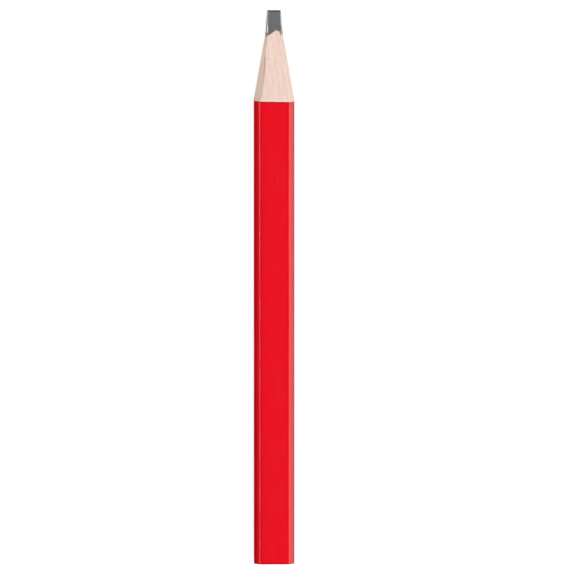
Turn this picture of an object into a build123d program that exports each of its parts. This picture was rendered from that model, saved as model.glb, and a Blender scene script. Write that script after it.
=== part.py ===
from build123d import *
import os
from math import atan2, cos, degrees, radians, sin, sqrt

# Flat octagonal carpenter pencil, cut to a chisel point. Millimetres.
# It lies on a broad face with its middle over the origin: Y runs along it towards the
# point, X across the broad faces, and Z up through its thickness.

# Outside of the pencil, over the lacquer
length = 175.0  # butt end to the tip of the lead
width = 12.7  # between the narrow faces
thickness = 7.2  # between the broad faces
corner = 1.78  # leg of the 45 degree flat along each corner
ridge_radius = 0.35  # rounding of the eight long ridges

# Coats on the wood, and the glue that bonds the slats and the lead
lacquer_film = 0.05
primer_film = 0.05
glue_line = 0.08

# Lead: a flat bar with rounded corners
lead_width = 5.3
lead_thickness = 2.2
lead_radius = 0.9

# Cuts that bare the wood, as distances back from the tip: where each leaves the
# lacquer, and where it runs out on the lead
broad_cut_start = 29.0
broad_cut_end = 5.7
corner_cut_start = 28.9
corner_cut_end = 7.9
narrow_cut_start = 28.2
narrow_cut_end = 7.3

# Two short cuts trim the wood of each broad face to a tongue against the lead
tongue_offset = 0.65  # tip of the tongue from the middle of the face
tongue_slope = 14.0  # how steeply the cuts dive, in degrees
tongue_turns = (-9.6, 6.8)  # how far each cut is turned off its broad face, in degrees

# Cuts that dress the lead, as distances back from the tip
chisel_start = 4.4  # the broad cuts begin
chisel_end = 0.4  # a steep bevel begins at the edge
chisel_thickness = 1.0  # thickness left where the bevel begins
edge_thickness = 0.56  # thickness of the blunt edge
edge_width = 4.4
narrow_dress_start = 7.2
corner_dress_start = 5.0
edge_corner = 0.4  # leg of the corner flats at the blunt edge

# Derived places
tip = length / 2
coats = lacquer_film + primer_film
bond_radius = lead_radius + glue_line
towards_point = Vector(0, 1, 0)
axis_height = Vector(0, 0, thickness / 2)
butt_end = Plane(origin=axis_height - towards_point * length / 2, x_dir=(1, 0, 0), z_dir=(0, -1, 0))
broad_bearings = (90, -90)  # bearings turn about the pencil's axis, from +X towards +Z
narrow_bearings = (0, 180)
corner_bearings = (45, 135, -135, -45)


def bearing_vector(bearing):
    """Unit vector across the pencil on this bearing."""
    return Vector(cos(radians(bearing)), 0, sin(radians(bearing)))


def cut_plane(bearing, slope, through):
    """Plane of a cut that faces along the bearing and dives at this slope to the tip."""
    facing = bearing_vector(bearing) * cos(radians(slope)) + towards_point * sin(radians(slope))
    return Plane(origin=through, z_dir=facing)


def straight_cut(bearing, start, end):
    """Plane through two points on one bearing, each a (radius, distance from the tip)."""
    slope = degrees(atan2(start[0] - end[0], start[1] - end[1]))
    through = axis_height + bearing_vector(bearing) * start[0] + towards_point * (tip - start[1])
    return cut_plane(bearing, slope, through)


def flat_corner(full_width, full_thickness, leg):
    """Distance from the axis to the flat on a chamfered corner."""
    return (full_width / 2 + full_thickness / 2 - leg) / sqrt(2)


def round_corner(full_width, full_thickness, radius):
    """Distance from the axis to the middle of a rounded corner."""
    return (full_width / 2 + full_thickness / 2 - 2 * radius) / sqrt(2) + radius


def wood_cuts():
    """Planes that bare the wood, through coats, slats and glue alike."""
    bond_width = lead_width + 2 * glue_line
    bond_thickness = lead_thickness + 2 * glue_line
    broad = ((thickness / 2, broad_cut_start), (bond_thickness / 2, broad_cut_end))
    narrow = ((width / 2, narrow_cut_start), (bond_width / 2, narrow_cut_end))
    angled = (
        (flat_corner(width, thickness, corner), corner_cut_start),
        (round_corner(bond_width, bond_thickness, bond_radius), corner_cut_end),
    )
    planes = [straight_cut(bearing, *broad) for bearing in broad_bearings]
    planes += [straight_cut(bearing, *narrow) for bearing in narrow_bearings]
    planes += [straight_cut(bearing, *angled) for bearing in corner_bearings]
    for bearing in broad_bearings:
        outward = bearing_vector(bearing)
        aside = bearing_vector(bearing - 90)
        peak = axis_height + outward * bond_thickness / 2 + aside * tongue_offset
        peak += towards_point * (tip - broad_cut_end)
        planes += [cut_plane(bearing - turn, tongue_slope, peak) for turn in tongue_turns]
    return planes


def lead_cuts():
    """Planes that dress the lead to a blunt chisel edge."""
    chisel = ((lead_thickness / 2, chisel_start), (chisel_thickness / 2, chisel_end))
    bevel = ((chisel_thickness / 2, chisel_end), (edge_thickness / 2, 0))
    narrow = ((lead_width / 2, narrow_dress_start), (edge_width / 2, 0))
    angled = (
        (round_corner(lead_width, lead_thickness, lead_radius), corner_dress_start),
        (flat_corner(edge_width, chisel_thickness, edge_corner), 0),
    )
    planes = [straight_cut(bearing, *cut) for cut in (chisel, bevel) for bearing in broad_bearings]
    planes += [straight_cut(bearing, *narrow) for bearing in narrow_bearings]
    planes += [straight_cut(bearing, *angled) for bearing in corner_bearings]
    return planes


def trim(planes):
    """Cut the part that is being built back to these planes."""
    for plane in planes:
        split(bisect_by=plane, keep=Keep.BOTTOM)


def finish(piece, name):
    """Name the piece and write it."""
    piece.part.label = name
    export_step(piece.part, f"parts/{name}.step")


os.makedirs("parts", exist_ok=True)

# Sections across the barrel, from the lacquer inwards
with BuildSketch(butt_end) as lacquered:
    Rectangle(width, thickness)
    chamfer(lacquered.vertices(), corner)
    fillet(lacquered.vertices(), ridge_radius)

with BuildSketch(butt_end) as primed:
    add(lacquered.sketch_local)
    offset(amount=-lacquer_film)

with BuildSketch(butt_end) as wood:
    add(primed.sketch_local)
    offset(amount=-primer_film)

with BuildSketch(butt_end) as lead_bar:
    RectangleRounded(lead_width, lead_thickness, lead_radius)

with BuildSketch(butt_end) as bond:
    add(lead_bar.sketch_local)
    offset(amount=glue_line)
    Rectangle(width - 2 * coats, glue_line)

# Lead
with BuildPart() as lead_core:
    extrude(lead_bar.sketch, amount=length, dir=towards_point)
    trim(lead_cuts())
finish(lead_core, "lead_core")

# Slats: two grooved halves of one block of basswood
for name, half in (("upper_slat", Keep.TOP), ("lower_slat", Keep.BOTTOM)):
    with BuildPart() as slat:
        extrude(wood.sketch, amount=length, dir=towards_point)
        extrude(bond.sketch, amount=length, dir=towards_point, mode=Mode.SUBTRACT)
        split(bisect_by=Plane(origin=axis_height), keep=half)
        trim(wood_cuts())
    finish(slat, name)

# Glue between the slats and all round the lead
with BuildPart() as glue_film:
    extrude(bond.sketch, amount=length, dir=towards_point)
    extrude(lead_bar.sketch, amount=length, dir=towards_point, mode=Mode.SUBTRACT)
    trim(wood_cuts())
finish(glue_film, "glue_film")

# Coats: cream primer on the wood, then red lacquer
with BuildPart() as primer_coat:
    extrude(primed.sketch, amount=length, dir=towards_point)
    extrude(wood.sketch, amount=length, dir=towards_point, mode=Mode.SUBTRACT)
    trim(wood_cuts())
finish(primer_coat, "primer_coat")

with BuildPart() as red_lacquer:
    extrude(lacquered.sketch, amount=length, dir=towards_point)
    extrude(primed.sketch, amount=length, dir=towards_point, mode=Mode.SUBTRACT)
    trim(wood_cuts())
finish(red_lacquer, "red_lacquer")
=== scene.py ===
import bpy
import bmesh
import math
import numpy as np
from mathutils import Matrix, Vector, noise


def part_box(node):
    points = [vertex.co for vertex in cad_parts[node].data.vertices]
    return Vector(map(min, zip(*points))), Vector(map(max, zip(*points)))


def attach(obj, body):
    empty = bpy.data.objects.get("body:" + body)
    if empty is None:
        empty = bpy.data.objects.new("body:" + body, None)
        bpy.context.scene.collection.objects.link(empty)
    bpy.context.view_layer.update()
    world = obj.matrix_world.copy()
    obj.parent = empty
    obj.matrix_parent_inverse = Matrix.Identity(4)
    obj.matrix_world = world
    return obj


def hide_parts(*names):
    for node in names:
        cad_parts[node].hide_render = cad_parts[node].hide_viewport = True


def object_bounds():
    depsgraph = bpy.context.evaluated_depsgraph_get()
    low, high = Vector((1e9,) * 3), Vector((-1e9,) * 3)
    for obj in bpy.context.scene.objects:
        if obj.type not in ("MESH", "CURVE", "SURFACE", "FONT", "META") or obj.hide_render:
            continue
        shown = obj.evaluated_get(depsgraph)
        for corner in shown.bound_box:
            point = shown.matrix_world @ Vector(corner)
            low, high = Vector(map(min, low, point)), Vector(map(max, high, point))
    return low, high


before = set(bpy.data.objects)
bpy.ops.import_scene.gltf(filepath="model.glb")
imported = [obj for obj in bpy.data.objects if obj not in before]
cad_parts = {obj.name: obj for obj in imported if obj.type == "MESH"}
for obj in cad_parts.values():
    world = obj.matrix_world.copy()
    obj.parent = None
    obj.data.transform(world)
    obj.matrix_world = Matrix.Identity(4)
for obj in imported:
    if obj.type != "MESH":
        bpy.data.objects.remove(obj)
cadLow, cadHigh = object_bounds()
print("frame loaded:", ", ".join(sorted(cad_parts)))

mm = 0.001
scene = bpy.context.scene
scene.view_settings.view_transform = "Standard"  # keeps the red as saturated as fresh lacquer

# The pencil lies along Y with its point at +Y. Sizes come from the frame; what its boxes
# don't say is here: corners, radii, and how far back from the tip each cut starts and ends
pencil = {
    "cornerLeg": 1.78 * mm,
    "ridgeRadius": 0.35 * mm,
    "leadRadius": 0.9 * mm,
    "broadCut": (29.0 * mm, 5.7 * mm),
    "cornerCut": (28.9 * mm, 7.9 * mm),
    "narrowCut": (28.2 * mm, 7.3 * mm),
    "tongueOffset": 0.65 * mm,
    "tongueSlope": 14.0,
    "tongueTurns": (-9.6, 6.8),
}
width, length, thickness = cadHigh - cadLow
buttY, tipY = cadLow.y, cadHigh.y
axisZ = (cadLow.z + cadHigh.z) / 2


def nodeSize(name):
    low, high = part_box(name)
    return high - low


leadWidth, _, leadThickness = nodeSize("lead_core")
glueLine = (nodeSize("glue_film").z - leadThickness) / 2
lacquerFilm = (width - nodeSize("primer_coat").x) / 2
primerFilm = (nodeSize("primer_coat").x - nodeSize("upper_slat").x) / 2
coats = lacquerFilm + primerFilm
bondWidth = leadWidth + 2 * glueLine
bondThickness = leadThickness + 2 * glueLine
bondRadius = pencil["leadRadius"] + glueLine
root2 = math.sqrt(2)


def roundCorner(fullWidth, fullThickness, radius):
    return (fullWidth / 2 + fullThickness / 2 - 2 * radius) / root2 + radius


# For each family of cuts: its distance from the axis where it starts and where it ends
cornerOut = (width / 2 + thickness / 2 - pencil["cornerLeg"]) / root2
cuts = {
    "broad": (pencil["broadCut"], thickness / 2, bondThickness / 2),
    "corner": (pencil["cornerCut"], cornerOut, roundCorner(bondWidth, bondThickness, bondRadius)),
    "narrow": (pencil["narrowCut"], width / 2, bondWidth / 2),
}


def cutSlope(family):
    (start, end), outside, inside = cuts[family]
    return (start - end) / (outside - inside)


def cutReach(family, back):
    # how far from the axis the cut lies, this far back from the tip
    (start, end), outside, inside = cuts[family]
    return inside + (back - end) / cutSlope(family)


# Node tree helpers, which serve both materials and geometry

def addNode(tree, kind, inputs=None, **settings):
    made = tree.nodes.new(kind)
    for name, value in settings.items():
        setattr(made, name, value)
    for name, value in (inputs or {}).items():
        feed(tree, made.inputs[name], value)
    return made


def feed(tree, socket, value):
    if isinstance(value, bpy.types.NodeSocket):
        tree.links.new(value, socket)
    else:
        socket.default_value = value


def calc(tree, operation, *values, clamp=False):
    made = addNode(tree, "ShaderNodeMath", operation=operation, use_clamp=clamp)
    for socket, value in zip(made.inputs, values):
        feed(tree, socket, value)
    return made.outputs[0]


def between(tree, value, low, high, outLow=0.0, outHigh=1.0):
    # eases from outLow to outHigh as value goes from low to high
    made = addNode(tree, "ShaderNodeMapRange", {"Value": value}, interpolation_type="SMOOTHSTEP")
    for name, number in (("From Min", low), ("From Max", high), ("To Min", outLow), ("To Max", outHigh)):
        feed(tree, made.inputs[name], number)
    return made.outputs["Result"]


def tint(tree, amount, first, second):
    # goes from the first colour to the second as amount goes from 0 to 1
    made = addNode(tree, "ShaderNodeMix", data_type="RGBA")
    feed(tree, made.inputs["Factor"], amount)
    for socket, value in ((made.inputs[6], first), (made.inputs[7], second)):
        feed(tree, socket, (*value, 1.0) if isinstance(value, tuple) and len(value) == 3 else value)
    return made.outputs[2]


def grain(tree, where, stretch, detail=2.0, rough=0.5, twist=0.0):
    # noise with this many features per metre along X, Y and Z
    placed = addNode(tree, "ShaderNodeMapping", {"Vector": where, "Scale": stretch})
    made = addNode(tree, "ShaderNodeTexNoise", {"Vector": placed.outputs[0], "Scale": 1.0, "Detail": detail,
                                               "Roughness": rough, "Distortion": twist})
    return made.outputs["Fac"]


def apart(tree, x, z, spot):
    # distance from a spot, across the pencil
    dx, dz = calc(tree, "SUBTRACT", x, spot[0]), calc(tree, "SUBTRACT", z, spot[1])
    squares = calc(tree, "ADD", calc(tree, "MULTIPLY", dx, dx), calc(tree, "MULTIPLY", dz, dz))
    return calc(tree, "SQRT", squares)


def startMaterial(name):
    material = bpy.data.materials.new(name)
    material.use_nodes = True
    tree = material.node_tree
    shader = tree.nodes["Principled BSDF"]
    coords = addNode(tree, "ShaderNodeTexCoord")
    parts = addNode(tree, "ShaderNodeSeparateXYZ", {"Vector": coords.outputs["Object"]})
    facing = addNode(tree, "ShaderNodeSeparateXYZ", {"Vector": coords.outputs["Normal"]})
    return material, tree, shader, coords.outputs["Object"], parts.outputs, facing.outputs


def raiseBump(tree, shader, layers):
    # each layer is (height, depth in metres); they add up
    normal = None
    for height, depth in layers:
        made = addNode(tree, "ShaderNodeBump", {"Height": height, "Distance": depth, "Strength": 1.0})
        if normal is not None:
            tree.links.new(normal, made.inputs["Normal"])
        normal = made.outputs["Normal"]
    tree.links.new(normal, shader.inputs["Normal"])


# The camera looks down on the broad face, leaning a little towards the point

cameraLook = {
    "lens": 1200.0,  # long, so that the barrel's sides stay parallel
    "sensor": 36.0,
    "frameWidth": 180.73 * mm,  # what the frame spans at the pencil
    "leanToPoint": 7.8,  # degrees
    "leanToLeft": 1.0,
    "aim": (4.35 * mm, -0.32 * mm),
    "clip": (0.1, 50.0),  # metres
}


def turnedAlong(place, back):
    # stands at place with its own Z along back, and +Y upwards in its view
    up = (Vector((0, 1, 0)) - back * back.y).normalized()
    turned = Matrix((up.cross(back), up, back)).transposed().to_4x4()
    return Matrix.Translation(place) @ turned


def placeCamera(look):
    camera = bpy.data.objects.new("camera", bpy.data.cameras.new("camera"))
    scene.collection.objects.link(camera)
    camera.data.lens = look["lens"]
    camera.data.sensor_width = look["sensor"]
    lean, side = math.radians(look["leanToPoint"]), math.radians(look["leanToLeft"])
    back = Vector((-math.sin(side), math.sin(lean), math.cos(lean) * math.cos(side))).normalized()
    distance = look["frameWidth"] * look["lens"] / look["sensor"]
    aim = Vector((*look["aim"], axisZ))
    camera.matrix_world = turnedAlong(aim + back * distance, back)
    camera.data.clip_start, camera.data.clip_end = look["clip"]
    scene.camera = camera


placeCamera(cameraLook)

# The studio: a pale floor, an even dome and soft boxes

studio = {
    "floorSize": 24.0,
    "floorDrop": 0.02 * mm,
    "floorColour": (0.35, 0.35, 0.35),
    "floorShade": 0.99,  # how much of that colour its faint clouds keep
    "floorClouds": (3.0, 3.0, 3.0),
    "floorRoughness": 0.9,
    "floorGlow": 0.78,
    "dome": 0.14,
    "tints": {"white": (1.0, 1.0, 1.0), "warm": (1.0, 0.97, 0.86)},
    # name: where, size across and along, watts, tint, and whether it lights the matt or the gloss
    "softBoxes": {
        "pointOverhead": ((0.31, 1.0, 1.5), (1.2, 0.8), 23.0, "white", "matt"),
        "buttOverhead": ((0.31, -1.2, 1.5), (1.2, 0.8), 25.0, "white", "matt"),
        "sideBox": ((0.75, -0.11, 0.13), (0.48, 0.5), 2.6, "warm", "gloss"),
        "ridgeBox": ((-0.70, -0.15, 0.66), (0.56, 0.42), 7.5, "white", "gloss"),
        "leftPointBox": ((-0.85, 0.42, -0.08), (0.80, 0.5), 6.0, "white", "gloss"),
        "rightPointBox": ((0.62, 0.30, -0.08), (0.50, 0.3), 4.2, "white", "gloss"),
        "farBox": ((-0.9, 0.95, 0.55), (0.9, 0.6), 1.3, "white", "gloss"),
        "nearBox": ((0.9, -0.95, 0.35), (0.9, 0.6), 1.3, "white", "gloss"),
    },
}


def buildFloor():
    half = studio["floorSize"] / 2
    mesh = bpy.data.meshes.new("floor")
    z = cadLow.z - studio["floorDrop"]
    corners = [(-half, -half, z), (half, -half, z), (half, half, z), (-half, half, z)]
    mesh.from_pydata(corners, [], [(0, 1, 2, 3)])
    floor = bpy.data.objects.new("floor", mesh)
    scene.collection.objects.link(floor)
    material, tree, shader, where, _, _ = startMaterial("paleTable")
    pale = studio["floorColour"]
    shade = tuple(studio["floorShade"] * channel for channel in pale)
    clouds = grain(tree, where, studio["floorClouds"])
    feed(tree, shader.inputs["Base Color"], tint(tree, clouds, shade, pale))
    shader.inputs["Roughness"].default_value = studio["floorRoughness"]
    shader.inputs["Specular IOR Level"].default_value = 0.0
    shader.inputs["Emission Color"].default_value = (1.0, 1.0, 1.0, 1.0)
    shader.inputs["Emission Strength"].default_value = studio["floorGlow"]
    mesh.materials.append(material)
    floor.visible_glossy = False  # keeps the shaded flats of the lacquer deep


def lightStudio():
    world = bpy.data.worlds.new("studio")
    scene.world = world
    world.use_nodes = True
    background = world.node_tree.nodes["Background"]
    background.inputs["Color"].default_value = (1.0, 1.0, 1.0, 1.0)
    background.inputs["Strength"].default_value = studio["dome"]
    world.cycles_visibility.glossy = False  # the dome only fills the shadows
    for name, (place, (across, along), watts, tone, use) in studio["softBoxes"].items():
        lamp = bpy.data.lights.new(name, "AREA")
        lamp.shape = "RECTANGLE"
        lamp.size, lamp.size_y = across, along
        lamp.energy = watts
        lamp.color = studio["tints"][tone]
        box = bpy.data.objects.new(name, lamp)
        scene.collection.objects.link(box)
        box.matrix_world = turnedAlong(Vector(place), Vector(place).normalized())
        box.visible_camera = False
        box.visible_glossy, box.visible_diffuse = use == "gloss", use == "matt"


buildFloor()
lightStudio()
print("camera, floor and lights in place")

# Finishes. A grain's three numbers are its features per metre along X, Y and Z

lacquerLook = {
    "red": (0.742, 0.0066, 0.0160),
    "shadeRed": (0.40, 0.0012, 0.0035),  # painted shade: the darker red along the outer ridges, beside the ridges of the broad faces and round the sawn end
    "thinLitRed": (0.80, 0.016, 0.024),  # where it has drawn thin along the ridges, lightened further as a painted highlight
    "cutRed": (0.42, 0.004, 0.010),  # where the knife or the saw went through it
    "scratchRed": (0.9, 0.45, 0.42),
    "scratchTint": 0.04,
    "shadeUp": 1.5 * mm,  # painted shade from the outer ridges over the corner flats, where it fades out
    "shadeDown": (1.2 * mm, 0.3),  # and over the narrow sides, with how much stays between them
    "shadeRipple": 0.04,
    "faceMask": (0.12 * mm, 0.04 * mm),  # starts and ends this far under the broad faces
    "bandStart": 0.35 * mm,  # from the ridges of the broad faces, clear of their rounding
    "leftBand": (2.6 * mm, 0.17),  # where it has faded out, and how strong it starts
    "leftLine": (0.75 * mm, 0.22),
    "rightLine": (0.75 * mm, 0.24),
    "endBand": (0.1 * mm, 0.75 * mm, 0.95),  # painted shade round the sawn end: start, end and strength
    "ridgeMask": (0.12 * mm, 0.42 * mm),
    "ripple": (420.0, 22.0, 420.0),
    "rippleDepth": 0.004 * mm,
    "peel": 900.0,
    "peelDepth": 0.0012 * mm,
    "smudge": (110.0, 45.0, 110.0),
    "hair": (9000.0, 70.0, 9000.0),
    "scratchDepth": -0.001 * mm,
    "roughness": (0.08, 0.13),
    "scratchRoughness": 0.12,
    "cutRoughness": 0.4,
    "specular": 0.25,
}


def sawnMask(tree, facing):
    # 1 on what faces back along the pencil, as the saw left it
    return between(tree, facing["Y"], -0.4, -0.7)


def ridgeCloseness(tree, parts):
    # 1 on the eight long ridges, 0 on the flats
    x = calc(tree, "ABSOLUTE", parts["X"])
    z = calc(tree, "ABSOLUTE", calc(tree, "SUBTRACT", parts["Z"], axisZ))
    leg = pencil["cornerLeg"]
    spots = ((width / 2 - leg, thickness / 2), (width / 2, thickness / 2 - leg))
    gap = calc(tree, "MINIMUM", *[apart(tree, x, z, spot) for spot in spots])
    return between(tree, gap, *lacquerLook["ridgeMask"], 1.0, 0.0)


def paintedLacquerShade(tree, parts, ripple):
    # how much painted shade darkens the lacquer: most along the outer ridges
    look = lacquerLook
    height = calc(tree, "ABSOLUTE", calc(tree, "SUBTRACT", parts["Z"], axisZ))
    outerRidge = thickness / 2 - pencil["cornerLeg"]
    down, rest = look["shadeDown"]
    above = between(tree, height, outerRidge, outerRidge + look["shadeUp"], 1.0, 0.0)
    below = between(tree, height, outerRidge - down, outerRidge, rest, 1.0)
    waver = between(tree, ripple, 0.3, 0.7, look["shadeRipple"], -look["shadeRipple"])
    outerShade = calc(tree, "ADD", calc(tree, "MULTIPLY", above, below), waver, clamp=True)
    # and a little painted shade beside the ridges of both broad faces
    onFace = between(tree, height, *[thickness / 2 - depth for depth in look["faceMask"]])
    innerRidge = width / 2 - pencil["cornerLeg"]
    fromLeft = calc(tree, "ADD", parts["X"], innerRidge)
    fromRight = calc(tree, "SUBTRACT", innerRidge, parts["X"])
    beside = 0.0
    for distance, name in ((fromLeft, "leftBand"), (fromLeft, "leftLine"), (fromRight, "rightLine")):
        reach, strength = look[name]
        beside = calc(tree, "ADD", beside, between(tree, distance, look["bandStart"], reach, strength, 0.0))
    # and painted shade round the sawn end
    first, last, strength = look["endBand"]
    end = between(tree, calc(tree, "SUBTRACT", parts["Y"], buttY), first, last, strength, 0.0)
    elsewhere = calc(tree, "MAXIMUM", end, calc(tree, "MULTIPLY", beside, onFace))
    return calc(tree, "MAXIMUM", outerShade, elsewhere)


def makeLacquer():
    look = lacquerLook
    material, tree, shader, where, parts, facing = startMaterial("redLacquer")
    ripple = grain(tree, where, look["ripple"], detail=1.0)
    smudge = grain(tree, where, look["smudge"], detail=3.0)
    hair = grain(tree, where, look["hair"], detail=1.0)
    peel = grain(tree, where, (look["peel"],) * 3, detail=1.0)
    scratch = calc(tree, "MULTIPLY", between(tree, hair, 0.66, 0.74), between(tree, smudge, 0.45, 0.6))
    # the ridges lighter: lacquer drawn thin, and a painted highlight along them
    thinAndLit = calc(tree, "MULTIPLY", ridgeCloseness(tree, parts), between(tree, smudge, 0.35, 0.65, 0.25, 0.9))
    cut = calc(tree, "MAXIMUM", between(tree, facing["Y"], 0.03, 0.07), sawnMask(tree, facing))
    # painted shade: darker red where the light falls off along the outer ridges, beside the broad faces'
    # ridges and at the sawn end
    colour = tint(tree, paintedLacquerShade(tree, parts, ripple), look["red"], look["shadeRed"])
    colour = tint(tree, thinAndLit, colour, look["thinLitRed"])
    colour = tint(tree, calc(tree, "MULTIPLY", scratch, look["scratchTint"]), colour, look["scratchRed"])
    colour = tint(tree, cut, colour, look["cutRed"])
    feed(tree, shader.inputs["Base Color"], colour)
    roughness = between(tree, smudge, 0.3, 0.7, *look["roughness"])
    for mask, extra in ((scratch, "scratchRoughness"), (cut, "cutRoughness")):
        roughness = calc(tree, "ADD", roughness, calc(tree, "MULTIPLY", mask, look[extra]), clamp=True)
    feed(tree, shader.inputs["Roughness"], roughness)
    shader.inputs["Specular IOR Level"].default_value = look["specular"]
    raiseBump(tree, shader, [(ripple, look["rippleDepth"]), (peel, look["peelDepth"]),
                             (scratch, look["scratchDepth"])])
    return material


primerLook = {
    "cream": (0.93, 0.68, 0.56),
    "dusty": (0.80, 0.56, 0.45),
    "mottle": (2500.0, 700.0, 2500.0),
    "mottleDepth": 0.004 * mm,
    "roughness": (0.75, 0.9),
}


def makePrimer():
    look = primerLook
    material, tree, shader, where, _, _ = startMaterial("creamPrimer")
    mottle = grain(tree, where, look["mottle"], detail=3.0)
    feed(tree, shader.inputs["Base Color"], tint(tree, mottle, look["dusty"], look["cream"]))
    feed(tree, shader.inputs["Roughness"], between(tree, mottle, 0.3, 0.7, *look["roughness"]))
    raiseBump(tree, shader, [(mottle, look["mottleDepth"])])
    return material


woodLook = {
    "pale": (0.825, 0.648, 0.578),
    "warm": (0.737, 0.548, 0.462),
    "tan": (0.58, 0.40, 0.30),
    "leftShadeBrown": (0.68, 0.45, 0.31),
    # painted shade in the torn groove beside the left ridge
    "tornAndShaded": (0.48, 0.28, 0.185),
    "paintedShine": (0.93, 0.75, 0.665),  # painted highlight along the right ridge
    "endPale": (0.62, 0.445, 0.315),
    "endDark": (0.47, 0.315, 0.205),
    "leadEdgeGrey": (0.16, 0.15, 0.15),
    "lateTint": 0.12,
    "poreTint": 0.16,
    "patchTint": 0.22,
    "fleckTint": 0.20,
    "leftShadeReach": (-2.6 * mm, -5.0 * mm, 0.10),  # painted shade on the left side: where across it starts and is full, and how strong
    "leadEdgeReach": (6.6 * mm, 9.0 * mm, 0.12),  # back from the tip: where it fades and ends, how strong
    "leadEdgeWaver": 2.0 * mm,
    "piths": {"basswoodUpper": (-31 * mm, 44 * mm), "basswoodLower": (38 * mm, -27 * mm)},
    "ringGap": 1.3 * mm,
    "bend": (160.0, 14.0, 160.0),
    "bendRings": 1.6,  # by how many rings the grain wanders
    "fibre": (2600.0, 60.0, 2600.0),
    "fibreDepth": 0.012 * mm,
    "pore": (7000.0, 420.0, 7000.0),
    "poreDepth": -0.010 * mm,
    "patch": (220.0, 90.0, 220.0),
    "fleck": (2100.0, 950.0, 2100.0),
    "vessel": 11000.0,
    "saw": (90.0, 90.0, 5200.0),
    "sawDepth": 0.05 * mm,
    "roughness": (0.62, 0.85),
    "specular": 0.15,
}


def makeBasswood(name):
    # growth rings run along the pencil, round a pith far outside it
    look = woodLook
    material, tree, shader, where, parts, facing = startMaterial(name)
    bend = grain(tree, where, look["bend"], detail=2.0)
    radius = apart(tree, parts["X"], parts["Z"], look["piths"][name])
    rings = calc(tree, "ADD", calc(tree, "DIVIDE", radius, look["ringGap"]),
                 calc(tree, "MULTIPLY", bend, look["bendRings"]))
    late = between(tree, calc(tree, "FRACT", rings), 0.55, 0.97)
    fibre = grain(tree, where, look["fibre"], detail=3.0, rough=0.6)
    pore = between(tree, grain(tree, where, look["pore"], detail=1.0), 0.62, 0.74)
    patch = grain(tree, where, look["patch"], detail=2.0)
    fleck = grain(tree, where, look["fleck"], detail=3.0, rough=0.6, twist=0.4)
    colour = tint(tree, between(tree, fibre, 0.3, 0.72), look["warm"], look["pale"])
    colour = tint(tree, calc(tree, "MULTIPLY", late, look["lateTint"]), colour, look["tan"])
    colour = tint(tree, calc(tree, "MULTIPLY", pore, look["poreTint"]), colour, look["tan"])
    colour = tint(tree, between(tree, patch, 0.45, 0.75, 0.0, look["patchTint"]), colour, look["warm"])
    colour = tint(tree, between(tree, fleck, 0.52, 0.72, 0.0, look["fleckTint"]), colour, look["tan"])
    # painted shade: the left side of the wood browner, as its facet lies in shade
    first, full, strength = look["leftShadeReach"]
    colour = tint(tree, between(tree, parts["X"], first, full, 0.0, strength), colour, look["leftShadeBrown"])
    tone = addNode(tree, "ShaderNodeAttribute", attribute_name="paintedShadeAndShine").outputs["Fac"]
    # painted shade in the tear beside the left ridge
    colour = tint(tree, between(tree, tone, 0.0, 0.6, 0.0, 0.9), colour, look["tornAndShaded"])
    # painted highlight along the right ridge
    colour = tint(tree, between(tree, tone, 0.0, -0.8, 0.0, 0.5), colour, look["paintedShine"])
    # end grain, where the saw left it
    sawn = sawnMask(tree, facing)
    vessels = between(tree, grain(tree, where, (look["vessel"],) * 3, detail=2.0), 0.38, 0.62)
    endColour = tint(tree, vessels, look["endDark"], look["endPale"])
    endColour = tint(tree, calc(tree, "MULTIPLY", late, 0.6), endColour, look["endDark"])
    endColour = tint(tree, between(tree, patch, 0.4, 0.7, 0.0, 0.25), endColour, look["tan"])
    colour = tint(tree, sawn, colour, endColour)
    # darker grey on the wood nearest the lead
    back = calc(tree, "SUBTRACT", tipY, parts["Y"])
    wavering = calc(tree, "ADD", back, calc(tree, "MULTIPLY", fibre, look["leadEdgeWaver"]))
    first, last, strength = look["leadEdgeReach"]
    colour = tint(tree, between(tree, wavering, first, last, strength, 0.0), colour, look["leadEdgeGrey"])
    feed(tree, shader.inputs["Base Color"], colour)
    feed(tree, shader.inputs["Roughness"], between(tree, fibre, 0.25, 0.75, *look["roughness"]))
    shader.inputs["Specular IOR Level"].default_value = look["specular"]
    saw = calc(tree, "MULTIPLY", grain(tree, where, look["saw"], detail=2.0), sawn)
    raiseBump(tree, shader, [(fibre, look["fibreDepth"]), (pore, look["poreDepth"]),
                             (saw, look["sawDepth"])])
    return material


leadLook = {
    "dressed": (0.104, 0.104, 0.110),
    "rubbed": (0.152, 0.152, 0.160),
    "dark": (0.026, 0.026, 0.028),
    "skin": (0.108, 0.110, 0.118),  # as it was drawn through the die
    "sawn": (0.062, 0.062, 0.066),
    "stroke": (900.0, 9000.0, 900.0),
    "strokeTint": 0.5,
    "strokeDepth": 0.006 * mm,
    "draw": (7000.0, 160.0, 7000.0),
    "drawDepth": 0.004 * mm,
    "speck": 6500.0,
    "speckDepth": 0.004 * mm,
    "roughness": (0.36, 0.5),
    "sawnRoughness": 0.25,
    "ior": 2.5,
}


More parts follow.
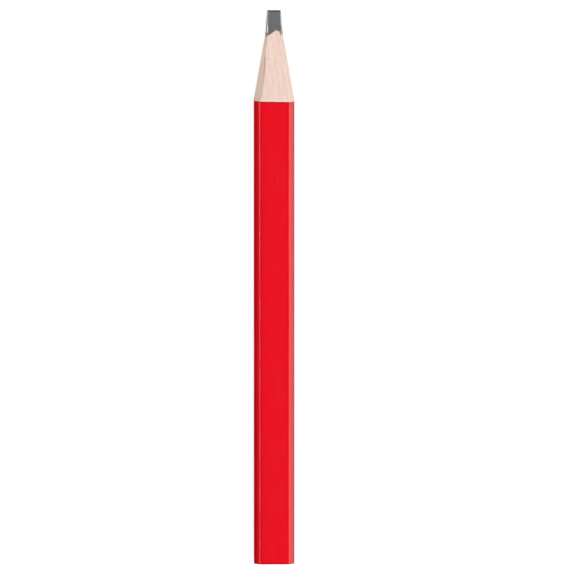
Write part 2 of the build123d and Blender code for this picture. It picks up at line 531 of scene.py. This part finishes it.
def makeGraphite():
    look = leadLook
    material, tree, shader, where, _, facing = startMaterial("graphite")
    stroke = grain(tree, where, look["stroke"], detail=2.0)
    draw = grain(tree, where, look["draw"], detail=2.0)
    speck = grain(tree, where, (look["speck"],) * 3, detail=3.0, rough=0.65)
    dressed = between(tree, facing["Y"], 0.02, 0.06)
    bevel = between(tree, facing["Y"], 0.3, 0.5)
    sawn = sawnMask(tree, facing)
    colour = tint(tree, between(tree, speck, 0.35, 0.7), look["dressed"], look["rubbed"])
    colour = tint(tree, between(tree, stroke, 0.55, 0.8, 0.0, look["strokeTint"]), colour, look["dark"])
    skin = tint(tree, between(tree, draw, 0.3, 0.7), look["dressed"], look["skin"])
    colour = tint(tree, dressed, skin, colour)
    # painted shade: the bevel at the tip darker
    colour = tint(tree, bevel, colour, look["dark"])
    sawnColour = tint(tree, between(tree, speck, 0.35, 0.65), look["dark"], look["sawn"])
    colour = tint(tree, sawn, colour, sawnColour)
    feed(tree, shader.inputs["Base Color"], colour)
    roughness = between(tree, speck, 0.3, 0.7, *look["roughness"])
    roughness = calc(tree, "ADD", roughness, calc(tree, "MULTIPLY", sawn, look["sawnRoughness"]))
    feed(tree, shader.inputs["Roughness"], roughness)
    shader.inputs["IOR"].default_value = look["ior"]
    raiseBump(tree, shader, [(stroke, look["strokeDepth"]), (draw, look["drawDepth"]),
                             (speck, look["speckDepth"])])
    return material


glueLook = {
    "dark": (0.10, 0.085, 0.075),
    "amber": (0.20, 0.15, 0.11),
    "blotch": (1800.0, 500.0, 1800.0),
    "blotchDepth": 0.006 * mm,
    "roughness": (0.35, 0.6),
}


def makeGlue():
    look = glueLook
    material, tree, shader, where, _, _ = startMaterial("driedGlue")
    blotch = grain(tree, where, look["blotch"], detail=3.0)
    colour = tint(tree, between(tree, blotch, 0.35, 0.65), look["dark"], look["amber"])
    feed(tree, shader.inputs["Base Color"], colour)
    feed(tree, shader.inputs["Roughness"], between(tree, blotch, 0.3, 0.7, *look["roughness"]))
    raiseBump(tree, shader, [(blotch, look["blotchDepth"])])
    return material


# Making a piece and handing it over

meshing = {
    "weld": 0.0004 * mm,  # points nearer than this become one
    "crease": 35.0,  # edges that turn by more than this stay sharp, in degrees
    "facet": 0.04,  # and, on a faceted piece, those whose two normals differ by this along Y
}


def finishPiece(name, mesh, material, slot, *nodes, faceted=False):
    shape = bmesh.new()
    shape.from_mesh(mesh)
    bmesh.ops.remove_doubles(shape, verts=shape.verts, dist=meshing["weld"])
    bmesh.ops.dissolve_degenerate(shape, edges=shape.edges, dist=meshing["weld"])
    bmesh.ops.recalc_face_normals(shape, faces=shape.faces)
    if shape.calc_volume(signed=True) < 0:
        bmesh.ops.reverse_faces(shape, faces=shape.faces)
    for face in shape.faces:
        face.smooth = True
    for edge in shape.edges:
        if edge.is_manifold:
            first, second = (face.normal for face in edge.link_faces)
            cut = faceted and abs(first.y - second.y) > meshing["facet"]
            edge.smooth = not cut and first.angle(second, 0.0) < math.radians(meshing["crease"])
    openEdges = sum(1 for edge in shape.edges if not edge.is_manifold)
    shape.to_mesh(mesh)
    shape.free()
    mesh.materials.clear()
    mesh.materials.append(material)
    piece = bpy.data.objects.new(name, mesh)
    scene.collection.objects.link(piece)
    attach(piece, "root")
    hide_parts(*nodes)
    print(f"{name}: {len(mesh.polygons)} faces, {openEdges} open edges")


def ringMesh(name, outer, inner):
    # outer and inner are rows x columns x 3; the wall between them is closed all round
    rows, columns = outer.shape[:2]
    loop = np.concatenate([outer, inner[:, ::-1]], axis=1)
    count = 2 * columns
    points = loop.reshape(-1, 3)
    faces = []
    for row in range(rows - 1):
        for column in range(count):
            a = row * count + column
            b = row * count + (column + 1) % count
            faces.append((a, b, b + count, a + count))
    for row in (0, rows - 1):
        for column in range(columns - 1):
            a = row * count + column
            b = row * count + count - 1 - column
            faces.append((a, a + 1, b - 1, b))
    mesh = bpy.data.meshes.new(name)
    mesh.from_pydata(points.tolist(), [], faces)
    return mesh


# The slats are knife-cut wood, from the mid-plane round to the mid-plane

slatSides = ("narrow", "corner", "broad", "corner", "narrow")  # from right to left over the top
sideTurn = 45.0  # from each to the next, in degrees

slatLook = {
    "sideColumns": {"narrow": 14, "corner": 26, "broad": 76},
    "arcColumns": 5,
    "rows": 190,
    "barrelStop": 1.0 * mm,  # the plain barrel's last row stands this far behind the first cut
    "endSearch": (3.0 * mm, 15.0 * mm, 40),  # the wood ends between these, found by this many halvings
    "cutRidge": 0.07 * mm,  # radius of a ridge between two knife cuts
    "hollow": 0.035 * mm,  # shallow scoops left by the knife
    "hollowSize": (350, 130, 350),
    "fuzz": 0.010 * mm,  # raised fibres
    "fuzzSize": (5000, 300, 5000),
    "fadeIn": 0.04,  # both start over this share of the cut, from the paint
    "fadeOut": 0.05,  # and stop over this share, towards the lead
    "seamFade": 0.6 * mm,  # and stay off the seam between the slats
    "rim": 0.42 * mm,  # the wood's feather edge stops this far back from the lead
    "ragged": 0.16 * mm,  # and as much as this further back, unevenly
    "raggedSize": (2600, 1, 2600),
    "seeds": {"upperSlat": 11.3, "lowerSlat": 47.9},
}

# What the knife left on the upper slat alone, and the painted highlight on its right ridge
knifeMarks = {
    # how far back from the tip, and how much deeper than the plain cut
    "leftCorner": ((16.0 * mm, 0.0), (26.6 * mm, 0.36 * mm), (28.3 * mm, 0.0)),
    "rightCorner": ((6.0 * mm, -0.12 * mm), (14.0 * mm, -0.08 * mm),
                    (26.0 * mm, -0.26 * mm), (28.7 * mm, 0.0)),
    "split": (1.80 * mm, 0.15 * mm, 1.25 * mm),  # beside the lead: where across, half width, depth back
    "splitWall": (1.3, 3.0),  # it ends at this many half widths, and how steeply
    "tear": ((14.5 * mm, -2.82 * mm), (24.6 * mm, -3.50 * mm)),  # back, across: runs along the left ridge
    "tearHalfWidth": 0.32 * mm,
    "tearDepth": 0.12 * mm,
    "paintedShine": (60.0, 5),  # painted highlight: the ridge past this bearing shines, fading out over this many columns each way
    "paintedShineReach": (9.0 * mm, 15.0 * mm),  # back from the tip: where the shine starts and is full
    "leftPaint": 0.34 * mm,  # how much nearer the point the coats end on the left corner
    "upperPaint": (0.10 * mm, 0.022),  # the same on the broad face, and its skew
}


def slatColumns(look):
    # each column: which pair of corner centres it lies between, how far along, its bearing
    columns = []
    for index, side in enumerate(slatSides):
        turn, count, arc = index * sideTurn, look["sideColumns"][side], look["arcColumns"]
        columns += [(index, step / count, turn) for step in range(count + 1)]
        if index < len(slatSides) - 1:
            columns += [(index + 1, 0.0, turn + sideTurn * step / arc) for step in range(1, arc)]
    return columns


def woodPoint(columns, back, marks=None):
    # where each column's surface lies (across, up from the axis), this far back from the tip
    bare = {"broad": thickness / 2 - coats, "corner": cornerOut - coats, "narrow": width / 2 - coats}
    reach = {family: np.minimum(bare[family], cutReach(family, back)) for family in cuts}
    radius = np.where(reach["broad"] < bare["broad"], slatLook["cutRidge"], pencil["ridgeRadius"] - coats)
    narrow, broad = reach["narrow"], reach["broad"]
    left = right = reach["corner"]
    if marks:
        left = left - np.interp(back, *zip(*marks["leftCorner"]))
        right = np.minimum(bare["corner"], right - np.interp(back, *zip(*marks["rightCorner"])))
    inset = radius * math.tan(math.radians(sideTurn / 2))
    gap = np.full_like(back, glueLine / 2)
    centres = [
        (narrow - radius, gap),
        (narrow - radius, right * root2 - narrow - inset),
        (right * root2 - broad - inset, broad - radius),
        (broad - left * root2 + inset, broad - radius),
        (radius - narrow, left * root2 - narrow - inset),
        (radius - narrow, gap),
    ]
    index, share, turn = (np.array(values) for values in zip(*columns))
    bearing = np.radians(turn)
    across = np.arange(len(columns))

    def placed(spots):
        spots = np.stack(spots)
        return (1 - share) * spots[index, ..., across].T + share * spots[index + 1, ..., across].T

    xs, zs = zip(*centres)
    x = placed(xs) + radius * np.cos(bearing)
    z = placed(zs) + radius * np.sin(bearing)
    return x, np.minimum(z, tongueHeight(x, back))


def tongueHeight(x, back):
    # the two short cuts that trim the wood to a tongue on the lead
    slope = math.radians(pencil["tongueSlope"])
    ahead = pencil["broadCut"][1] - back
    limit = np.full_like(back, np.inf)
    for turn in pencil["tongueTurns"]:
        aside = math.sin(math.radians(turn)) * math.cos(slope)
        up = math.cos(math.radians(turn)) * math.cos(slope)
        drop = (aside * (x - pencil["tongueOffset"]) + math.sin(slope) * ahead) / up
        limit = np.minimum(limit, bondThickness / 2 - drop)
    return limit


def outsideBond(x, z):
    # distance outside the glued lead's outline
    dx = np.abs(x) - (bondWidth / 2 - bondRadius)
    dz = np.abs(z) - (bondThickness / 2 - bondRadius)
    outward = np.hypot(np.maximum(dx, 0), np.maximum(dz, 0))
    return outward + np.minimum(np.maximum(dx, dz), 0) - bondRadius


def woodEnd(columns, marks):
    # how far back from the tip each column runs out on the glue
    nearest, furthest, halvings = slatLook["endSearch"]
    low = np.full(len(columns), nearest)
    high = np.full(len(columns), furthest)
    for _ in range(halvings):
        middle = (low + high) / 2
        x, z = woodPoint(columns, middle[None, :], marks)
        outside = outsideBond(x[0], z[0]) > 0
        high = np.where(outside, middle, high)
        low = np.where(outside, low, middle)
    return high


def noiseGrid(x, y, z, scale, seed):
    spots = zip(x.ravel() * scale[0] + seed, y.ravel() * scale[1], z.ravel() * scale[2])
    return np.array([noise.noise(Vector(spot)) for spot in spots]).reshape(x.shape)


def tearDepth(marks, x, back):
    # a long splinter torn out beside the ridge, deepest where it starts
    (start, startX), (end, endX) = marks["tear"]
    share = (back - start) / (end - start)
    across = np.abs(x - startX - (endX - startX) * share) / marks["tearHalfWidth"]
    inside = (share > 0) & (share < 1)
    return np.where(inside, np.clip(1 - across, 0, 1) * np.sqrt(np.clip(1 - share, 0, 1)), 0.0)


def splitDepth(marks, x):
    # how far back the wood has split beside the lead
    place, halfWidth, depth = marks["split"]
    reach, steepness = marks["splitWall"]
    return depth * np.clip(steepness * (reach - np.abs(x - place) / halfWidth), 0, 1)


def ridgeShineMask(marks, bearing, back):
    # 1 where the right ridge gets its painted highlight
    turn, spread = marks["paintedShine"]
    first, full = marks["paintedShineReach"]
    ridge = np.argmax(np.degrees(bearing) > turn)
    across = np.clip(1 - np.abs(np.arange(len(bearing)) - ridge) / spread, 0, 1)
    return across * np.clip((back - first) / (full - first), 0, 1)


def woodStart(bearing):
    # how far back from the tip the cuts reach the wood under the coats
    starts = [cuts[side][0][0] - coats * cutSlope(side) for side in slatSides]
    return np.interp(np.degrees(bearing), sideTurn * np.arange(len(slatSides)), starts)


def buildSlat(name, node, flip, material, marks=None):
    look = slatLook
    seed = look["seeds"][name]
    columns = slatColumns(look)
    bearing = np.radians([column[2] for column in columns])
    end = woodEnd(columns, marks)
    grooveX, grooveZ = (a[0] for a in woodPoint(columns, end[None, :], marks))
    ragged = noiseGrid(grooveX, np.zeros_like(grooveX), grooveZ, look["raggedSize"], seed)
    stop = end + look["rim"] + look["ragged"] * np.abs(ragged)
    if marks:
        stop = stop + splitDepth(marks, grooveX)
    start = woodStart(bearing)
    share = np.linspace(0, 1, look["rows"])[:, None]
    taper = start + (stop - start) * share
    barrel = np.array([length, (length + start.max()) / 2, start.max() + look["barrelStop"]])
    back = np.concatenate([np.repeat(barrel[:, None], len(columns), axis=1), taper])
    x, z = woodPoint(columns, back, marks)
    y = tipY - back
    scoop = 0.5 + 0.5 * noiseGrid(x, y, z, look["hollowSize"], seed + 7)
    fibre = 0.5 + 0.5 * noiseGrid(x, y, z, look["fuzzSize"], seed + 3)
    fade = np.minimum(share / look["fadeIn"], 1) * np.minimum((1 - share) / look["fadeOut"], 1)
    fade = np.concatenate([np.zeros((len(barrel), 1)), fade]) * np.clip(z / look["seamFade"], 0, 1)
    depth = (look["hollow"] * scoop + look["fuzz"] * fibre) * fade
    tone = np.zeros_like(x)  # above 0 painted shade in the tear, below 0 painted highlight on the right ridge
    if marks:
        tornAndShaded = tearDepth(marks, x, back)
        depth = depth + marks["tearDepth"] * tornAndShaded
        tone = tornAndShaded - ridgeShineMask(marks, bearing, back)
    x, z = x - depth * np.cos(bearing), z - depth * np.sin(bearing)
    side = -1 if flip else 1
    outer = np.stack([side * x, y, axisZ + side * z], axis=2)
    inX, inZ = np.broadcast_to(grooveX, x.shape), np.broadcast_to(grooveZ, x.shape)
    inner = np.stack([side * inX, y, axisZ + side * inZ], axis=2)
    mesh = ringMesh(name, outer, inner)
    marked = mesh.attributes.new("paintedShadeAndShine", "FLOAT", "POINT")
    bothWalls = np.concatenate([tone, np.zeros_like(tone)], axis=1)
    marked.data.foreach_set("value", bothWalls.ravel().astype(np.float32))
    finishPiece(name, mesh, material, "bare_wood", node)


# The lead is a rounded bar dressed to a chisel

leadShape = {
    # where each cut starts or ends, back from the tip, and what it leaves there
    "chiselStart": 4.4 * mm,
    "chiselEnd": 0.4 * mm,
    "chiselThickness": 1.0 * mm,
    "edgeThickness": 0.56 * mm,
    "edgeWidth": 4.4 * mm,
    "narrowStart": 7.2 * mm,
    "cornerStart": 5.0 * mm,
    "edgeCorner": 0.4 * mm,
    "sideColumns": 60,
    "endColumns": 3,
    "arcColumns": 14,
    "rows": 150,
    "bareBack": 12.0 * mm,
    "worn": 0.05 * mm,  # rounding of the blunt edge
    "crumble": 0.07 * mm,  # how unevenly the edge has crumbled
    "crumbleBack": 0.5 * mm,  # and how far back from it
    "crumbleSize": (1500, 1, 1500),
    "crumbleSeed": 4.0,
}


def leadOutline(shape):
    # the upper half of the bar's outline, from its right side over the top to its left
    radius = pencil["leadRadius"]
    flatX, flatZ = leadWidth / 2 - radius, leadThickness / 2 - radius
    rise = np.linspace(0, flatZ, shape["endColumns"] + 1)[:-1]
    turn = np.linspace(0, math.pi / 2, shape["arcColumns"] + 1)
    flat = np.linspace(0, flatX, shape["sideColumns"] // 2 + 1)[::-1][1:]
    x = np.concatenate([np.full(rise.shape, leadWidth / 2), flatX + radius * np.cos(turn), flat])
    z = np.concatenate([rise, flatZ + radius * np.sin(turn), np.full(flat.shape, leadThickness / 2)])
    return np.concatenate([x, -x[-2::-1]]), np.concatenate([z, z[-2::-1]])


def buildLead(material):
    shape = leadShape
    outlineX, outlineZ = leadOutline(shape)
    share = np.linspace(0, 1, shape["rows"])
    dressed = shape["bareBack"] * (1 - share) + shape["worn"] * share
    back, x = np.meshgrid(np.concatenate([[length, length / 2], dressed, [0.0]]), outlineX, indexing="ij")
    z = np.broadcast_to(outlineZ, x.shape)

    def taperTo(start, startReach, end, endReach):
        # how far from the axis a straight cut lies, through these two points
        return endReach + (back - end) * (startReach - endReach) / (start - end)

    chiselReach = shape["chiselThickness"] / 2
    chisel = taperTo(shape["chiselStart"], leadThickness / 2, shape["chiselEnd"], chiselReach)
    bevel = taperTo(shape["chiselEnd"], chiselReach, 0.0, shape["edgeThickness"] / 2)
    narrow = taperTo(shape["narrowStart"], leadWidth / 2, 0.0, shape["edgeWidth"] / 2)
    cornerEnd = (shape["edgeWidth"] / 2 + chiselReach - shape["edgeCorner"]) / root2
    cornerFull = roundCorner(leadWidth, leadThickness, pencil["leadRadius"])
    corner = taperTo(shape["cornerStart"], cornerFull, 0.0, cornerEnd)
    wear = np.where(back < shape["worn"] / 2, shape["worn"], 0.0)
    broad, narrow = np.minimum(chisel, bevel) - wear, narrow - wear
    x, z = np.clip(x, -narrow, narrow), np.minimum(z, broad)
    over = np.maximum((np.abs(x) + z) / root2 - corner, 0)
    x, z = x - np.sign(x) * over / root2, z - over / root2
    halves = []
    for side in (1, -1):
        crumble = noiseGrid(x, np.zeros_like(x), side * z, shape["crumbleSize"], shape["crumbleSeed"])
        crumble = (0.5 + 0.5 * crumble) * np.clip(1 - back / shape["crumbleBack"], 0, 1)
        y = tipY - back - shape["crumble"] * crumble
        halves.append(np.stack([x, y, axisZ + side * z], axis=2))
    finishPiece("leadCore", ringMesh("leadCore", *halves), material, "lead", "lead_core", faceted=True)


# The coats: one geometry nodes tree makes both the primer and the lacquer

coatLook = {
    "inputs": {"Columns": 720, "Rows": 14, "Chip Size": 1700.0, "Seed": 5},
    "ridgeSteps": 8,  # segments round each long ridge
    "chipStart": 0.35,  # the edge is chipped where its noise is above this
    "chipDepth": {"primerCoat": 0.06 * mm, "redLacquer": 0.35 * mm},
    "sawnShare": 0.25,  # how far the saw wore the other end, as a share of that
    "weld": 0.001 * mm,
}


def coatTree():
    tree = bpy.data.node_groups.new("coatOnBarrel", "GeometryNodeTree")
    face = tree.interface
    names = ("Width", "Thickness", "Corner", "Ridge Radius", "Outer Inset", "Inner Inset", "Butt Y", "Tip Y",
             "Broad Start", "Broad Slope", "Corner Start", "Corner Slope", "Corner Reach", "Narrow Start",
             "Narrow Slope", "Left Reach", "Upper Reach", "Skew", "Chip Depth", "Chip Size", "Sawn Wear")
    for name in names:
        face.new_socket(name, in_out="INPUT", socket_type="NodeSocketFloat")
    for name in ("Columns", "Rows", "Seed"):
        face.new_socket(name, in_out="INPUT", socket_type="NodeSocketInt")
    face.new_socket("Material", in_out="INPUT", socket_type="NodeSocketMaterial")
    face.new_socket("Geometry", in_out="OUTPUT", socket_type="NodeSocketGeometry")
    given = tree.nodes.new("NodeGroupInput").outputs

    def section(inset):
        # the eight-sided outline, set in from the lacquer's surface
        twice = calc(tree, "MULTIPLY", inset, 2.0)
        plate = addNode(tree, "GeometryNodeCurvePrimitiveQuadrilateral", {
            "Width": calc(tree, "SUBTRACT", given["Width"], twice),
            "Height": calc(tree, "SUBTRACT", given["Thickness"], twice)})
        leg = calc(tree, "SUBTRACT", given["Corner"], calc(tree, "MULTIPLY", inset, 2.0 - root2))
        radius = calc(tree, "SUBTRACT", given["Ridge Radius"], inset)
        outline = plate.outputs[0]
        for size, count in ((leg, 1), (radius, coatLook["ridgeSteps"])):
            rounded = addNode(tree, "GeometryNodeFilletCurve", mode="POLY", inputs={
                "Curve": outline, "Radius": size, "Count": count})
            outline = rounded.outputs[0]
        return outline

    columns, rows = given["Columns"], given["Rows"]
    lastRow = calc(tree, "ADD", calc(tree, "MULTIPLY", rows, 2.0), 2.0)
    sheet = addNode(tree, "GeometryNodeMeshGrid", {
        "Size X": 1.0, "Size Y": 1.0,
        "Vertices X": calc(tree, "ADD", lastRow, 1.0), "Vertices Y": calc(tree, "ADD", columns, 1.0)})
    position = addNode(tree, "GeometryNodeInputPosition").outputs[0]
    place = addNode(tree, "ShaderNodeSeparateXYZ", {"Vector": position})
    row = calc(tree, "ROUND", calc(tree, "MULTIPLY", calc(tree, "ADD", place.outputs["X"], 0.5), lastRow))
    around = calc(tree, "ADD", place.outputs["Y"], 0.5)
    # rows run out along the outer wall, back along the inner wall, then close on the first
    notLast = calc(tree, "LESS_THAN", row, calc(tree, "SUBTRACT", lastRow, 0.5))
    pastOuter = calc(tree, "GREATER_THAN", row, calc(tree, "ADD", rows, 0.5))
    inside = calc(tree, "MULTIPLY", pastOuter, notLast)
    outward = calc(tree, "DIVIDE", row, rows)
    inward = calc(tree, "DIVIDE", calc(tree, "SUBTRACT", calc(tree, "SUBTRACT", lastRow, 1.0), row), rows)
    along = calc(tree, "ADD", calc(tree, "MULTIPLY", inside, inward),
                 calc(tree, "MULTIPLY", calc(tree, "SUBTRACT", 1.0, inside), outward))
    along = calc(tree, "MULTIPLY", along, notLast)
    spots = []
    for inset in (given["Outer Inset"], given["Inner Inset"]):
        sampled = addNode(tree, "GeometryNodeSampleCurve", {"Curves": section(inset), "Factor": around},
                          mode="FACTOR", data_type="FLOAT")
        spots.append(sampled.outputs["Position"])
    spot = addNode(tree, "ShaderNodeMix", {"Factor": inside}, data_type="VECTOR")
    tree.links.new(spots[0], spot.inputs[4])
    tree.links.new(spots[1], spot.inputs[5])
    flat = addNode(tree, "ShaderNodeSeparateXYZ", {"Vector": spot.outputs[1]})
    u = calc(tree, "ABSOLUTE", flat.outputs["X"])
    w = calc(tree, "ABSOLUTE", flat.outputs["Y"])

    def cutAt(start, slope, reach, distance):
        beyond = calc(tree, "MULTIPLY", calc(tree, "SUBTRACT", reach, distance), slope)
        return calc(tree, "ADD", calc(tree, "SUBTRACT", given["Tip Y"], start), beyond)

    halfWidth = calc(tree, "MULTIPLY", given["Width"], 0.5)
    halfThickness = calc(tree, "MULTIPLY", given["Thickness"], 0.5)
    diagonal = calc(tree, "DIVIDE", calc(tree, "ADD", u, w), root2)
    broad = cutAt(given["Broad Start"], given["Broad Slope"], halfThickness, w)
    narrow = cutAt(given["Narrow Start"], given["Narrow Slope"], halfWidth, u)
    corner = cutAt(given["Corner Start"], given["Corner Slope"], given["Corner Reach"], diagonal)
    upperLeft = calc(tree, "MULTIPLY", calc(tree, "LESS_THAN", flat.outputs["X"], 0.0),
                     calc(tree, "GREATER_THAN", flat.outputs["Y"], 0.0))
    # the upper broad face is what reaches almost the full height
    upper = calc(tree, "GREATER_THAN", flat.outputs["Y"], calc(tree, "MULTIPLY", halfThickness, 0.98))
    skewed = calc(tree, "MULTIPLY", flat.outputs["X"], given["Skew"])
    turned = calc(tree, "SUBTRACT", given["Upper Reach"], skewed)
    broad = calc(tree, "ADD", broad, calc(tree, "MULTIPLY", upper, turned))
    corner = calc(tree, "ADD", corner, calc(tree, "MULTIPLY", upperLeft, given["Left Reach"]))
    cut = calc(tree, "MINIMUM", broad, calc(tree, "MINIMUM", narrow, corner))
    ragged = addNode(tree, "ShaderNodeTexNoise", noise_dimensions="4D", inputs={
        "Vector": spots[0], "W": given["Seed"], "Scale": given["Chip Size"],
        "Detail": 3.0, "Roughness": 0.6}).outputs["Fac"]
    chip = calc(tree, "MULTIPLY", calc(tree, "SUBTRACT", ragged, coatLook["chipStart"]), given["Chip Depth"])
    cut = calc(tree, "SUBTRACT", cut, calc(tree, "MAXIMUM", chip, 0.0))
    butt = calc(tree, "ADD", given["Butt Y"], calc(tree, "MULTIPLY", ragged, given["Sawn Wear"]))
    y = calc(tree, "ADD", butt, calc(tree, "MULTIPLY", along, calc(tree, "SUBTRACT", cut, butt)))
    z = calc(tree, "ADD", flat.outputs["Y"], halfThickness)
    target = addNode(tree, "ShaderNodeCombineXYZ", {"X": flat.outputs["X"], "Y": y, "Z": z})
    shape = sheet.outputs["Mesh"]
    for kind, inputs in (
        ("GeometryNodeSetPosition", {"Position": target.outputs[0]}),
        ("GeometryNodeMergeByDistance", {"Distance": coatLook["weld"]}),
        ("GeometryNodeRealizeInstances", {}),
        ("GeometryNodeSetMaterial", {"Material": given["Material"]}),
    ):
        shape = addNode(tree, kind, {"Geometry": shape, **inputs}).outputs[0]
    tree.links.new(shape, tree.nodes.new("NodeGroupOutput").inputs[0])
    return tree


def runTree(name, tree, values):
    # evaluates the tree on its own object and keeps the plain mesh
    maker = bpy.data.objects.new(name + "Maker", bpy.data.meshes.new(name + "Maker"))
    scene.collection.objects.link(maker)
    modifier = maker.modifiers.new(name, "NODES")
    modifier.node_group = tree
    for item in tree.interface.items_tree:
        if item.in_out == "INPUT" and item.name in values:
            modifier[item.identifier] = values[item.name]
    bpy.context.view_layer.update()
    graph = bpy.context.evaluated_depsgraph_get()
    mesh = bpy.data.meshes.new_from_object(maker.evaluated_get(graph))
    mesh.name = name
    maker.modifiers.remove(modifier)
    bpy.data.objects.remove(maker)
    return mesh


def buildCoat(tree, name, node, slot, material, outer, inner):
    upperReach, skew = knifeMarks["upperPaint"]
    chips = coatLook["chipDepth"][name]
    values = {
        "Width": width, "Thickness": thickness, "Corner": pencil["cornerLeg"],
        "Ridge Radius": pencil["ridgeRadius"], "Outer Inset": outer, "Inner Inset": inner,
        "Butt Y": buttY, "Tip Y": tipY, "Corner Reach": cornerOut, "Left Reach": knifeMarks["leftPaint"],
        "Upper Reach": upperReach, "Skew": skew, "Chip Depth": chips,
        "Sawn Wear": chips * coatLook["sawnShare"], "Material": material,
    }
    for family in cuts:
        values[family.capitalize() + " Start"] = cuts[family][0][0]
        values[family.capitalize() + " Slope"] = cutSlope(family)
    values.update(coatLook["inputs"])
    finishPiece(name, runTree(name, tree, values), material, slot, node, faceted=True)


lacquer, primer, graphite = makeLacquer(), makePrimer(), makeGraphite()
upperWood, lowerWood = makeBasswood("basswoodUpper"), makeBasswood("basswoodLower")
print("finishes made")

buildSlat("upperSlat", "upper_slat", False, upperWood, knifeMarks)
buildSlat("lowerSlat", "lower_slat", True, lowerWood)
buildLead(graphite)
coatMaker = coatTree()
buildCoat(coatMaker, "primerCoat", "primer_coat", "primer", primer, lacquerFilm, coats)
buildCoat(coatMaker, "redLacquer", "red_lacquer", "lacquer", lacquer, 0.0, lacquerFilm)

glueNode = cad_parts["glue_film"]
glueNode.data.materials.clear()
glueNode.data.materials.append(makeGlue())
print("pieces built")
